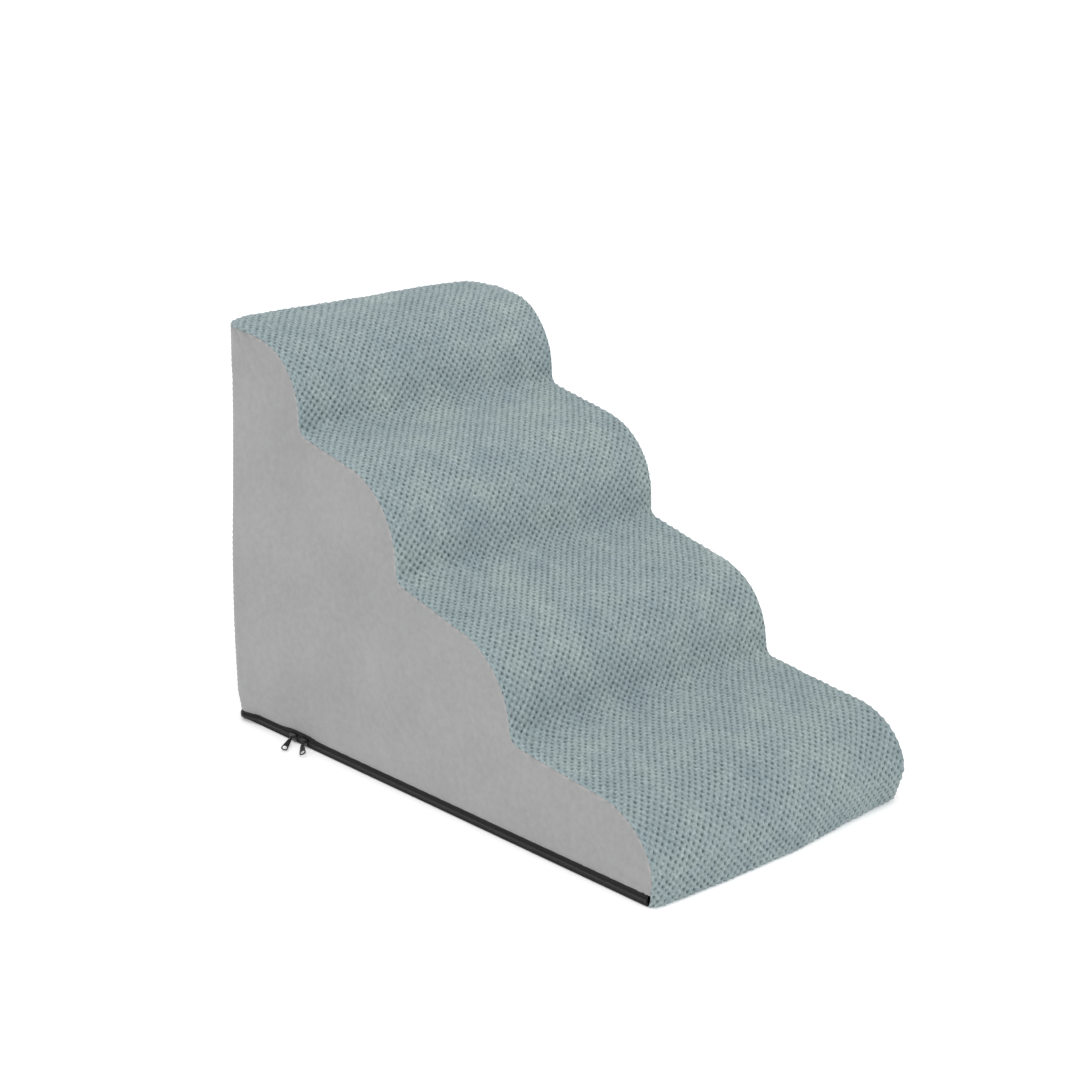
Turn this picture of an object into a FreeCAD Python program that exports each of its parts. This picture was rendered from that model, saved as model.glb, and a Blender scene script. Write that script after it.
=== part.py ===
# Four-step foam pet stair with a removable zipped cover.
#
# Millimetres. +Z is up, +Y runs from the low front edge to the tall back, +X is the
# stair's right side as a pet climbs it. The origin is on the floor, at the middle of
# the footprint. Each named piece is written as its own solid to parts/NAME.step.

import FreeCAD, Part
import math
import os

Vector = FreeCAD.Vector

# Overall size
stair_length = 700.0
stair_width = 400.0
stair_height = 500.0
back_corner_radius = 12.0

# The steps, lowest first: y of the rounded nose, height of the tread where it meets
# the next riser, radius of the nose, and slope of the tread towards the front.
step_shapes = [
    {"nose_y": -350.0, "tread_z": 121.0, "nose_r": 82.0, "slope": 7.0},
    {"nose_y": -141.0, "tread_z": 251.0, "nose_r": 104.0, "slope": 14.0},
    {"nose_y": 49.0, "tread_z": 385.0, "nose_r": 104.0, "slope": 12.0},
    {"nose_y": 223.0, "tread_z": stair_height, "nose_r": 92.0, "slope": 12.0},
]
valley_radius = 13.0

# Cover
plush_thickness = 4.0
plush_edge_round = 6.0
panel_thickness = 1.5
panel_bottom_z = 13.0
bottom_thickness = 1.3
bottom_edge_inset = 1.0

# Foam block
foam_side_inset = 2.5
foam_edge_round = 4.0
foam_bevel = 14.0

# Zipper chain, measured inwards from the outer face of the cover and upwards from
# the floor. It runs along the left side, round the back and along the right side.
chain_z = 7.0
chain_gap = 1.4
chain_front_y = -341.0
tape_inset = 1.6
tape_thickness = 0.6
tape_top_z = 20.0
tape_hem_width = 9.4
coil_height = 2.4
coil_outset = 0.6

# Sliders, on the left side near the back, nose to nose
slider_length = 13.0
slider_height = 9.6
slider_tail_height = 8.2
slider_nose_chamfer = 2.6
slider_plate = 1.2
slider_outer_x = -202.2
slider_inner_x = -196.3
slider_lip = 1.0
slider_lip_depth = 1.8
divider_thickness = 0.8
divider_length = 4.6
divider_setback = 0.8
slider_corner_round = 0.8
slider_front_y = 224.5
slider_rear_y = 246.0

# Pull tabs. Each hangs on a bail on its slider by a wire-thin eye.
hinge_x = -204.6
hinge_tilt = 8.5
bail_radius = 2.0
wire_radius = 0.65
tab_length = 30.0
tab_thickness = 1.5
tab_neck_width = 4.6
tab_width = 8.0
tab_root_width = 2.75
tab_root_start = 1.4
tab_shoulder_length = 1.6
tab_flare_start = 7.5
neck_length = 3.4
neck_root_radius = 1.0
neck_end_radius = 0.9
tab_slot_width = 5.2
tab_slot_length = 9.0
tab_rim = 1.1
tab_edge_round = 0.35
front_tab = {"y": slider_front_y, "swing": 53.0, "twist": -74.0}
rear_tab = {"y": slider_rear_y, "swing": 34.0, "twist": -119.0}

half_width = stair_width / 2
half_length = stair_length / 2
beyond = 2 * stair_length


def stair_point(y, z, x=0.0):
    return Vector(x, y, z)


def stair_arc(centre, radius, start, end):
    """An arc in the side view, between two angles in radians."""

    def at(angle):
        return stair_point(centre[0] + radius * math.cos(angle), centre[1] + radius * math.sin(angle))

    return Part.Arc(at(start), at((start + end) / 2), at(end)).toShape()


def nose_centre(step, tread_end_y):
    """The centre of the nose arc, which is tangent to the tread and to the riser."""
    slope = math.radians(step["slope"])
    radius = step["nose_r"]
    centre_y = step["nose_y"] + radius
    run = tread_end_y - centre_y + radius * math.sin(slope)
    return centre_y, step["tread_z"] - run * math.tan(slope) - radius * math.cos(slope)


def valley_centre(lower_step, upper_centre, upper_radius):
    """The centre of the small arc that joins a tread to the nose above it."""
    slope = math.radians(lower_step["slope"])
    along_y, along_z = math.cos(slope), math.sin(slope)
    end_y = upper_centre[0] - upper_radius
    base_z = lower_step["tread_z"] + valley_radius / math.cos(slope)
    off_y, off_z = end_y - upper_centre[0], base_z - upper_centre[1]
    reach = upper_radius + valley_radius
    middle = off_y * along_y + off_z * along_z
    spare = off_y ** 2 + off_z ** 2 - reach ** 2
    travel = -middle - math.sqrt(middle ** 2 - spare)
    return end_y + travel * along_y, base_z + travel * along_z


def outline_edges(inset):
    """The side view of the stair, every curved and sloped edge moved in by inset."""
    tread_ends = [step["nose_y"] for step in step_shapes[1:]] + [half_length]
    centres = [nose_centre(step, end) for step, end in zip(step_shapes, tread_ends)]
    top = step_shapes[-1]
    top_corner = stair_point(half_length, top["tread_z"] - inset / math.cos(math.radians(top["slope"])))
    edges = []
    tread_start = top_corner
    for number in reversed(range(len(step_shapes))):
        step = step_shapes[number]
        centre = centres[number]
        slope = math.radians(step["slope"])
        radius = step["nose_r"] - inset
        start = math.pi / 2 + slope
        tread_front = stair_point(centre[0] - radius * math.sin(slope), centre[1] + radius * math.cos(slope))
        edges.append(Part.LineSegment(tread_start, tread_front).toShape())
        if number == 0:
            edges.append(stair_arc(centre, radius, start, math.pi))
            break
        lower = step_shapes[number - 1]
        valley = valley_centre(lower, centre, step["nose_r"])
        meet = math.atan2(valley[1] - centre[1], valley[0] - centre[0]) % (2 * math.pi)
        edges.append(stair_arc(centre, radius, start, meet))
        lower_slope = math.radians(lower["slope"])
        edges.append(stair_arc(valley, valley_radius + inset, meet - math.pi, lower_slope - math.pi / 2))
        tread_start = stair_point(
            valley[0] + (valley_radius + inset) * math.sin(lower_slope),
            valley[1] - (valley_radius + inset) * math.cos(lower_slope),
        )
    front_top = stair_point(centres[0][0] - step_shapes[0]["nose_r"] + inset, centres[0][1])
    front_foot = stair_point(front_top.y, 0.0)
    back_foot = stair_point(half_length, 0.0)
    edges.append(Part.LineSegment(front_top, front_foot).toShape())
    edges.append(Part.LineSegment(front_foot, back_foot).toShape())
    edges.append(Part.LineSegment(back_foot, top_corner).toShape())
    return edges


def stair_block(inset, half):
    """A solid with the side view of the stair, from x = -half to x = half."""
    face = Part.Face(Part.Wire(Part.__sortEdges__(outline_edges(inset))))
    block = face.extrude(Vector(2 * half, 0, 0))
    block.translate(Vector(-half, 0, 0))
    return block


def rounded_stair_block(inset, half, edge_round):
    """A stair block with the long edges of its treads rounded."""
    block = stair_block(inset, half)
    edges = []
    for edge in block.Edges:
        box = edge.BoundBox
        along_side = box.XLength < 0.01 and abs(abs(box.XMin) - half) < 0.01
        on_floor = box.ZMax < 0.01
        on_back = box.YMin > half_length - 0.01
        if along_side and not on_floor and not on_back:
            edges.append(edge)
    return block.makeFillet(edge_round, edges)


def plan_block(inset, low_z, high_z):
    """The footprint moved in by inset, with rounded back corners, as a solid slab."""
    half = half_width - inset
    back = half_length - inset
    radius = back_corner_radius - inset
    front = -beyond
    diagonal = radius * (1 - math.sqrt(0.5))
    left_arc = Part.Arc(
        Vector(-half, back - radius, low_z),
        Vector(-half + diagonal, back - diagonal, low_z),
        Vector(-half + radius, back, low_z),
    )
    right_arc = Part.Arc(
        Vector(half - radius, back, low_z),
        Vector(half - diagonal, back - diagonal, low_z),
        Vector(half, back - radius, low_z),
    )
    edges = [
        Part.LineSegment(Vector(-half, front, low_z), Vector(-half, back - radius, low_z)).toShape(),
        left_arc.toShape(),
        Part.LineSegment(Vector(-half + radius, back, low_z), Vector(half - radius, back, low_z)).toShape(),
        right_arc.toShape(),
        Part.LineSegment(Vector(half, back - radius, low_z), Vector(half, front, low_z)).toShape(),
        Part.LineSegment(Vector(half, front, low_z), Vector(-half, front, low_z)).toShape(),
    ]
    return Part.Face(Part.Wire(edges)).extrude(Vector(0, 0, high_z - low_z))


def polygon_block(points, direction):
    """A closed polygon swept along a vector."""
    wire = Part.makePolygon(points + [points[0]])
    return Part.Face(wire).extrude(direction)


def box_between(low, high):
    size = Vector(high) - Vector(low)
    return Part.makeBox(size.x, size.y, size.z, Vector(low))


def one_solid(shape):
    """The single solid in a boolean's result."""
    solids = shape.removeSplitter().Solids
    if len(solids) != 1:
        raise ValueError("expected one solid, found %d" % len(solids))
    return solids[0]


def foam_core():
    """One block of firm foam, bevelled along the zipper so that the sliders clear it."""
    block = rounded_stair_block(plush_thickness, half_width - foam_side_inset, foam_edge_round)
    block = block.common(plan_block(foam_side_inset, bottom_thickness, stair_height))
    side = half_width - foam_side_inset
    back = half_length - foam_side_inset
    bevel_top = bottom_thickness + foam_bevel
    for sign in (-1, 1):
        wedge = [
            Vector(sign * side, -beyond, bevel_top),
            Vector(sign * (side - foam_bevel), -beyond, bottom_thickness),
            Vector(sign * (side + foam_bevel), -beyond, bottom_thickness),
        ]
        block = block.cut(polygon_block(wedge, Vector(0, 2 * beyond, 0)))
    wedge = [
        Vector(-beyond, back, bevel_top),
        Vector(-beyond, back - foam_bevel, bottom_thickness),
        Vector(-beyond, back + foam_bevel, bottom_thickness),
    ]
    return one_solid(block.cut(polygon_block(wedge, Vector(2 * beyond, 0, 0))))


def tread_cover():
    """The plush band over front, treads and top, with its edges rolled down to the seams."""
    skin = rounded_stair_block(0.0, half_width, plush_edge_round)
    skin = skin.common(plan_block(0.0, 0.0, stair_height))
    skin = skin.cut(stair_block(plush_edge_round, half_width))
    foam_space = rounded_stair_block(plush_thickness, half_width - foam_side_inset, foam_edge_round)
    return one_solid(skin.cut(foam_space.common(plan_block(foam_side_inset, 0.0, stair_height))))


def panel_shell():
    """All the side and back fabric as one thin upright shell, before it is divided."""
    shell = plan_block(0.0, panel_bottom_z, stair_height).cut(
        plan_block(panel_thickness, panel_bottom_z, stair_height)
    )
    return shell.common(stair_block(plush_edge_round, half_width))


def side_panel(sign):
    """A side panel, which wraps half way round the back corner to its seam."""
    corner_x = half_width - back_corner_radius
    corner_y = half_length - back_corner_radius
    region = [
        Vector(sign * corner_x, -beyond, 0),
        Vector(sign * corner_x, corner_y, 0),
        Vector(sign * (corner_x + beyond), corner_y + beyond, 0),
        Vector(sign * (corner_x + beyond), -beyond, 0),
    ]
    return one_solid(panel_shell().common(polygon_block(region, Vector(0, 0, stair_height))))


def back_panel():
    corner_x = half_width - back_corner_radius
    corner_y = half_length - back_corner_radius
    region = [
        Vector(-corner_x, corner_y, 0),
        Vector(-corner_x - beyond, corner_y + beyond, 0),
        Vector(corner_x + beyond, corner_y + beyond, 0),
        Vector(corner_x, corner_y, 0),
    ]
    return one_solid(panel_shell().common(polygon_block(region, Vector(0, 0, stair_height))))


def bottom_panel():
    """The non-slip base cloth, from the plush hem at the front to the zipper's lower tape."""
    sheet = plan_block(bottom_edge_inset, 0.0, bottom_thickness)
    behind_hem = rounded_stair_block(plush_thickness, half_width - foam_side_inset, foam_edge_round)
    return one_solid(sheet.common(behind_hem.fuse(stair_block(plush_edge_round, half_width))))


def zipper_ribbon(outer_inset, inner_inset, low_z, high_z):
    """A band that follows the zipper's route, from the front left round the back."""
    band = plan_block(outer_inset, low_z, high_z).cut(plan_block(inner_inset, low_z, high_z))
    keep = box_between((-stair_width, chain_front_y, low_z), (stair_width, stair_length, high_z))
    return band.common(keep)


def zipper_tape_upper():
    low_z = chain_z + chain_gap / 2
    return one_solid(zipper_ribbon(tape_inset, tape_inset + tape_thickness, low_z, tape_top_z))


def zipper_tape_lower():
    """The lower tape stands up from a hem that lies on the bottom panel."""
    high_z = chain_z - chain_gap / 2
    hem_top_z = bottom_thickness + tape_thickness
    upright = zipper_ribbon(tape_inset, tape_inset + tape_thickness, bottom_thickness, high_z)
    hem = zipper_ribbon(tape_inset, tape_inset + tape_hem_width, bottom_thickness, hem_top_z)
    return one_solid(upright.fuse(hem))


def zipper_coil(low_z):
    return one_solid(zipper_ribbon(-coil_outset, tape_inset, low_z, low_z + coil_height))


def slider_plate_block(centre_y, nose, x, thickness):
    """One plate of a slider: wide at the nose, which faces along nose, and narrower at the tail."""
    half = slider_length / 2
    wide, narrow = slider_height / 2, slider_tail_height / 2
    profile = [
        (-half, -narrow),
        (half - 2 * slider_nose_chamfer, -wide),
        (half - slider_nose_chamfer / 2, -wide),
        (half, -wide + slider_nose_chamfer),
        (half, wide - slider_nose_chamfer),
        (half - slider_nose_chamfer / 2, wide),
        (half - 2 * slider_nose_chamfer, wide),
        (-half, narrow),
    ]
    points = [Vector(x, centre_y + nose * y, chain_z + z) for y, z in profile]
    plate = polygon_block(points, Vector(thickness, 0, 0))
    upright = [edge for edge in plate.Edges if edge.BoundBox.XLength > thickness / 2]
    return plate.makeFillet(slider_corner_round, upright)


def hinge_frame(centre_y, swing):
    """The swing axis of a pull tab and the direction in which the tab points."""
    tilt = math.radians(hinge_tilt)
    turn = math.radians(swing)
    axis = Vector(-math.sin(tilt), 0, math.cos(tilt))
    outward = Vector(-math.cos(tilt), 0, -math.sin(tilt))
    pointing = outward * math.cos(turn) + Vector(0, -1, 0) * math.sin(turn)
    return Vector(hinge_x, centre_y, chain_z), axis, outward, pointing


def round_bar(path, radius):
    """A round bar along a wire that starts with its first edge."""
    start = path.OrderedVertexes[0].Point
    first = path.OrderedEdges[0]
    tangent = first.tangentAt(first.FirstParameter)
    section = Part.Wire(Part.makeCircle(radius, start, tangent))
    return path.makePipeShell([section], True, True)


def bail(centre_y):
    """The half ring on the outer plate that holds the pull tab's eye."""
    hinge, _, outward, _ = hinge_frame(centre_y, 0.0)
    side = Vector(0, 1, 0)
    left = hinge - side * bail_radius
    right = hinge + side * bail_radius
    foot = abs(hinge_x - slider_outer_x) + slider_plate / 2
    legs = outward * foot
    path = Part.Wire([
        Part.LineSegment(left - legs, left).toShape(),
        Part.Arc(left, hinge + outward * bail_radius, right).toShape(),
        Part.LineSegment(right, right - legs).toShape(),
    ])
    return round_bar(path, wire_radius)


def slider(centre_y, nose):
    """A cast zipper slider. nose is 1 or -1, the way along Y that its divider end faces."""
    outer = slider_plate_block(centre_y, nose, slider_outer_x, slider_plate)
    inner = slider_plate_block(centre_y, nose, slider_inner_x - slider_plate, slider_plate)
    lip_x = slider_outer_x + slider_plate / 2
    lip_end_x = lip_x + slider_plate / 2 + slider_lip_depth
    rim = slider_plate_block(centre_y, nose, lip_x, lip_end_x - lip_x)
    channel_half = slider_height / 2 - slider_lip
    channel = box_between(
        (lip_x - 1, centre_y - slider_length, chain_z - channel_half),
        (lip_end_x + 1, centre_y + slider_length, chain_z + channel_half),
    )
    nose_y = centre_y + nose * slider_length / 2
    web_end_y = nose_y - nose * divider_setback
    web_start_y = web_end_y - nose * divider_length
    web = box_between(
        (lip_x, min(web_start_y, web_end_y), chain_z - divider_thickness / 2),
        (slider_inner_x - slider_plate / 2, max(web_start_y, web_end_y), chain_z + divider_thickness / 2),
    )
    body = outer.fuse([inner, rim.cut(channel), web, bail(centre_y)])
    return one_solid(body)


def pull_tab(y, swing, twist):
    """A pull tab: an eye round the bail, a neck, and a flared tab with a slot at its end."""
    hinge, axis, _, pointing = hinge_frame(y, swing)
    eye = Part.makeTorus(bail_radius, wire_radius, Vector(bail_radius, 0, 0), Vector(0, 0, 1))
    neck_start = 2 * bail_radius - wire_radius / 2
    neck = Part.makeCone(neck_root_radius, neck_end_radius, neck_length,
                         Vector(neck_start, 0, 0), Vector(1, 0, 0))
    root_x = neck_start + tab_root_start
    end_radius = tab_width / 2
    straight_end = tab_length - end_radius
    half_neck = tab_neck_width / 2
    side = [
        Vector(root_x, tab_root_width / 2, 0),
        Vector(root_x + tab_shoulder_length, half_neck, 0),
        Vector(tab_flare_start, half_neck, 0),
        Vector(straight_end, end_radius, 0),
    ]
    mirrored = [Vector(p.x, -p.y, 0) for p in reversed(side)]
    edges = [Part.LineSegment(a, b).toShape() for a, b in zip(side, side[1:])]
    edges.append(Part.Arc(side[-1], Vector(tab_length, 0, 0), mirrored[0]).toShape())
    edges += [Part.LineSegment(a, b).toShape() for a, b in zip(mirrored, mirrored[1:])]
    edges.append(Part.LineSegment(mirrored[-1], side[0]).toShape())
    plate = Part.Face(Part.Wire(edges)).extrude(Vector(0, 0, tab_thickness))
    plate.translate(Vector(0, 0, -tab_thickness / 2))
    slot_radius = tab_slot_width / 2
    slot_end = tab_length - tab_rim - slot_radius
    slot_start = slot_end - tab_slot_length + tab_slot_width
    slot = Part.makeBox(slot_end - slot_start, tab_slot_width, 2 * tab_thickness,
                        Vector(slot_start, -slot_radius, -tab_thickness))
    for x in (slot_start, slot_end):
        slot = slot.fuse(Part.makeCylinder(slot_radius, 2 * tab_thickness, Vector(x, 0, -tab_thickness)))
    slot = slot.removeSplitter()
    rim_edges = [edge for edge in plate.Edges if edge.BoundBox.ZLength < 0.01]
    plate = plate.makeFillet(tab_edge_round, rim_edges).cut(slot)
    plate.rotate(Vector(0, 0, 0), Vector(1, 0, 0), twist)
    tab = one_solid(plate.fuse([neck, eye]))
    normal = pointing.cross(axis)
    tab.transformShape(FreeCAD.Matrix(
        pointing.x, axis.x, normal.x, hinge.x,
        pointing.y, axis.y, normal.y, hinge.y,
        pointing.z, axis.z, normal.z, hinge.z,
        0, 0, 0, 1,
    ))
    return tab


def main():
    lower_coil_z = chain_z - chain_gap / 2 - coil_height
    upper_coil_z = chain_z + chain_gap / 2
    pieces = {
        "foam_core": foam_core(),
        "tread_cover": tread_cover(),
        "side_panel_left": side_panel(-1),
        "side_panel_right": side_panel(1),
        "back_panel": back_panel(),
        "bottom_panel": bottom_panel(),
        "zipper_tape_upper": zipper_tape_upper(),
        "zipper_tape_lower": zipper_tape_lower(),
        "zipper_coil_upper": zipper_coil(upper_coil_z),
        "zipper_coil_lower": zipper_coil(lower_coil_z),
        "slider_front": slider(slider_front_y, 1),
        "slider_rear": slider(slider_rear_y, -1),
        "pull_tab_front": pull_tab(**front_tab),
        "pull_tab_rear": pull_tab(**rear_tab),
    }
    os.makedirs("parts", exist_ok=True)
    for name, shape in pieces.items():
        box = shape.BoundBox
        if not shape.isValid() or not shape.isClosed():
            raise ValueError(name + " is not a valid closed solid")
        shape.exportStep("parts/" + name + ".step")
        print("%-18s volume %12.1f  x %7.1f %7.1f  y %7.1f %7.1f  z %6.1f %6.1f" % (
            name, shape.Volume, box.XMin, box.XMax, box.YMin, box.YMax, box.ZMin, box.ZMax))


main()
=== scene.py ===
"""Looks for the four-step foam pet stair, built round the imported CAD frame.

Everything is in metres, in the CAD frame: +Z up, +Y towards the tall back, floor at z = 0.
The cover's wall follows one route in plan: up the left side, round the back and down the right.
"""
import math

import bmesh
import bpy
import numpy as np
from mathutils import Matrix, Vector
from mathutils.geometry import delaunay_2d_cdt


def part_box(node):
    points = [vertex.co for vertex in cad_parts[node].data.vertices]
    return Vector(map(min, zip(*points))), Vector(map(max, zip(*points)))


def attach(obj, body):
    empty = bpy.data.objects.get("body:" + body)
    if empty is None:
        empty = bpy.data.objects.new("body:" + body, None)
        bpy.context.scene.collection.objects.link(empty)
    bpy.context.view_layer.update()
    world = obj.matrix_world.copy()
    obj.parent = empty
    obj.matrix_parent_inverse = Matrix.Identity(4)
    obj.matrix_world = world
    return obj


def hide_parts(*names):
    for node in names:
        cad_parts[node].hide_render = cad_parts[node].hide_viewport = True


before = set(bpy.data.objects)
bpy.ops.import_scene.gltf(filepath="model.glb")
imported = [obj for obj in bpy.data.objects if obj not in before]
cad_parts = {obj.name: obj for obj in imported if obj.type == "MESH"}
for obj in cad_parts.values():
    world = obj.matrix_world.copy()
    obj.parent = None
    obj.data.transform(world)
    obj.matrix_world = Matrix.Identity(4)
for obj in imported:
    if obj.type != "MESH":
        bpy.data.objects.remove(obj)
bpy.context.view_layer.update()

MM = 0.001

# The stair, as in the CAD source
cover_low, cover_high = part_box("tread_cover")
half_width = (cover_high.x - cover_low.x) / 2
half_length = (cover_high.y - cover_low.y) / 2
top_z = cover_high.z
step_shapes = [
    {"nose_y": -350 * MM, "tread_z": 121 * MM, "nose_r": 82 * MM, "slope": 7},
    {"nose_y": -141 * MM, "tread_z": 251 * MM, "nose_r": 104 * MM, "slope": 14},
    {"nose_y": 49 * MM, "tread_z": 385 * MM, "nose_r": 104 * MM, "slope": 12},
    {"nose_y": 223 * MM, "tread_z": top_z, "nose_r": 92 * MM, "slope": 12},
]
valley_radius = 13 * MM
back_corner_radius = 12 * MM
panel_bottom_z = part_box("side_panel_left")[0].z
base_top_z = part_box("bottom_panel")[1].z
chain_front_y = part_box("zipper_tape_upper")[0].y

# Plush band. Values with keys -1 and 1 are for the left and the right side.
edge_radius = 3.2 * MM
edge_turn = math.radians(100)
edge_proud = 1.2 * MM
edge_length = edge_radius * edge_turn
flat_half = half_width + edge_proud - edge_radius
plush_width = 2 * (flat_half + edge_length)
plush_backing = 3.0 * MM
crown = 1.2 * MM
valley_softness = 19 * MM
soft_from_back = 45 * MM
soft_from_front = 60 * MM

# The plush's top back edge and corners
back_edge_radius = 5.0 * MM
back_edge_fall = 1.5 * MM
top_corner_radius = {-1: 15 * MM, 1: 22 * MM}
top_corner_drop = {-1: 5 * MM, 1: 10 * MM}
top_corner_reach = {-1: (30 * MM, 30 * MM), 1: (45 * MM, 90 * MM)}
top_corner_power = 1.2
top_corner_run = 60 * MM
top_rise = 0.2 * MM
top_swell = 1.5 * MM
top_swell_x = 80 * MM
top_swell_spread = 70 * MM
top_swell_run = 90 * MM
rim_pull = 6 * MM
rim_pull_fade = (2 * MM, 22 * MM)
back_swell_share = 0.6
back_swell_fade = (300 * MM, 350 * MM)

# The plush's foot and front hem
hem_radius = 5.0 * MM
hem_bow = 7.0 * MM
hem_bow_x = -40 * MM
hem_bow_height = 60 * MM
hem_bow_reach = 1.2 * half_width
foot_run = 60 * MM
front_belly = 4.0 * MM
front_belly_z = 48 * MM
front_belly_spread = 34 * MM
front_corner_radius = 12 * MM
front_corner_fade = (6 * MM, 48 * MM)
right_hem_bend = 7 * MM
right_hem_bend_run = 120 * MM
right_hem_bend_height = 35 * MM
right_hem_lift = 2 * MM
right_hem_lift_run = (110 * MM, 30 * MM)
right_hem_lift_height = 40 * MM

# The plush's dots and pile
steps_per_bump = 8
bumps_across = 41
bumps_along = 94
dimple_depth = 1.8 * MM
dimple_sharpness = 2.9
bump_height = 0.8 * MM
dot_drift = 0.45
dot_jitter = 0.42
jitter_cell = 6.5 * MM
uneven_cell = 5 * MM
pile_roughness = 0.22 * MM
wave_height = 0.4 * MM
rim_steps = 4

# Foam block
foam_inset = 6.5 * MM
foam_side_inset = 9 * MM
foam_bevel = 14 * MM
foam_lift = 0.9 * MM

# Fabric walls
wall_thickness = 1.2 * MM
wall_cell = 4.0 * MM
wall_gap = 0.1 * MM
border_gap = 2.5 * MM
border_roll = (0.8 * MM, 4 * MM)
seam_lap = 1.5 * MM
seam_overlap = 0.8 * MM
top_wall_rise = 1.5 * MM
top_wall_rise_run = (-50 * MM, -5 * MM)
top_wall_fall = 0.6
top_run = 50 * MM
top_tuck = 2.0 * MM
top_tuck_height = 22 * MM
top_tuck_fade = (-4 * MM, 16 * MM)
swell_from_zip = (-2 * MM, 30 * MM)
back_swell_loss = 0.4
back_swell_run = 120 * MM
pale_seam = (1.5 * MM, 5.5 * MM)
pale_seam_end = (-40 * MM, -15 * MM)
crease_edge = 5 * MM
ripple_edge = 16 * MM
ripples = ((0.5 * MM, 90 * MM), (0.18 * MM, 28 * MM))
staggered_row = 0.87

# How far the stuffed cover stands out from the flat block: (y, z, distance) in millimetres
swell_points = [
    (350, 480, 7), (350, 370, 5.7), (350, 300, 9), (350, 200, 12), (350, 110, 13), (350, 40, 10),
    (250, 450, -4), (223, 395, -4), (150, 375, -3), (60, 330, -2), (49, 270, -1), (-60, 235, 0),
    (-135, 180, 1.5), (-145, 130, 1.5), (-250, 105, 1.5), (-345, 60, 1.5), (-345, 5, 0.5),
    (200, 8, 1.5), (0, 8, 0.8), (-200, 8, 0.5), (200, 200, 6), (50, 120, 6), (-180, 60, 4.5),
]
right_swell_points = [(75, 335, 4.5), (-115, 200, 5), (-330, 80, 4.5)]
swell_reach = 45

# Zipper, which bows out and rises where it goes round a back corner, and kinks up at the sliders
tooth_pitch = 1.4 * MM
zip_corner_push = 7.0 * MM
zip_corner_reach = 22 * MM
zip_corner_lift = 5.0 * MM
zip_corner_inset = 9.0 * MM
zip_lift_top = 6.5 * MM
slider_path_end = (25 * MM, 11 * MM)
slider_kink = 3.0 * MM
slider_kink_y = 234 * MM
slider_kink_reach = 30 * MM
right_end_gap = 12 * MM

sample_gap = 0.1 * MM


# ------ helpers

def soft_noise(seed, a, b, cell):
    """Smooth random values from -1 to 1 at points (a, b), with features of about cell."""
    rng = np.random.default_rng(seed)
    table = rng.uniform(-1, 1, (64, 64))
    a, b = np.asarray(a) / cell, np.asarray(b) / cell
    ia, ib = np.floor(a).astype(int), np.floor(b).astype(int)
    fa, fb = a - ia, b - ib
    fa, fb = fa * fa * (3 - 2 * fa), fb * fb * (3 - 2 * fb)
    low = table[ia % 64, ib % 64] * (1 - fa) + table[(ia + 1) % 64, ib % 64] * fa
    high = table[ia % 64, (ib + 1) % 64] * (1 - fa) + table[(ia + 1) % 64, (ib + 1) % 64] * fa
    return low * (1 - fb) + high * fb


def smooth_step(x, low, high):
    """0 up to low, 1 from high on, and a smooth rise between them."""
    x = np.clip((np.asarray(x) - low) / (high - low), 0, 1)
    return x * x * (3 - 2 * x)


def add_object(name, data):
    """A new object in the scene."""
    made = bpy.data.objects.new(name, data)
    bpy.context.scene.collection.objects.link(made)
    return made


def mesh_piece(name, points, faces, material, smooth=True):
    """A new mesh object from point and face lists, in the CAD frame, riding on the stair."""
    mesh = bpy.data.meshes.new(name)
    mesh.from_pydata([tuple(p) for p in points], [], [tuple(f) for f in faces])
    mesh.update()
    mesh.polygons.foreach_set("use_smooth", [smooth] * len(mesh.polygons))
    piece = add_object(name, mesh)
    mesh.materials.append(material)
    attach(piece, "stair")
    return piece


def set_values(piece, name, values):
    """Stores a value for each point of a piece, for its material to read."""
    attribute = piece.data.attributes.new(name, "FLOAT", "POINT")
    attribute.data.foreach_set("value", np.concatenate(values).astype(np.float32))


def weld(piece):
    """Joins the points of a piece that lie together and turns its faces outwards."""
    shape = bmesh.new()
    shape.from_mesh(piece.data)
    bmesh.ops.remove_doubles(shape, verts=shape.verts, dist=1e-6)
    bmesh.ops.dissolve_degenerate(shape, edges=shape.edges, dist=1e-6)
    bmesh.ops.recalc_face_normals(shape, faces=shape.faces)
    shape.to_mesh(piece.data)
    shape.free()


def grid_faces(rows, columns, start=0, closed=False):
    """Quads between the points of a rows by columns grid, numbered row by row."""
    i = np.arange(rows - 1)[:, None]
    j = np.arange(columns if closed else columns - 1)[None, :]
    k = (j + 1) % columns
    quads = np.stack([i * columns + j, i * columns + k, (i + 1) * columns + k, (i + 1) * columns + j], -1)
    return quads.reshape(-1, 4) + start


def tube_faces(rings, sides, start=0):
    """Faces of a closed tube: quads between its rings of points, and two caps."""
    last = start + (rings - 1) * sides
    caps = [range(start, start + sides)[::-1], range(last, last + sides)]
    return list(grid_faces(rings, sides, start, closed=True)) + caps


def distance_to(points, line):
    """The distance from each point to the nearest point of a line."""
    gap = points[:, None] - line[None]
    return np.min(np.hypot(gap[..., 0], gap[..., 1]), axis=1)


# ------ side view of the stair

def line_points(start, end):
    """A straight line's points and the normals on its right."""
    start, end = np.array(start), np.array(end)
    count = max(2, int(np.linalg.norm(end - start) / sample_gap))
    along = np.linspace(0, 1, count)[:, None]
    direction = (end - start) / np.linalg.norm(end - start)
    normal = np.array([direction[1], -direction[0]])
    return start + along * (end - start), np.repeat(normal[None], count, 0)


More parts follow.
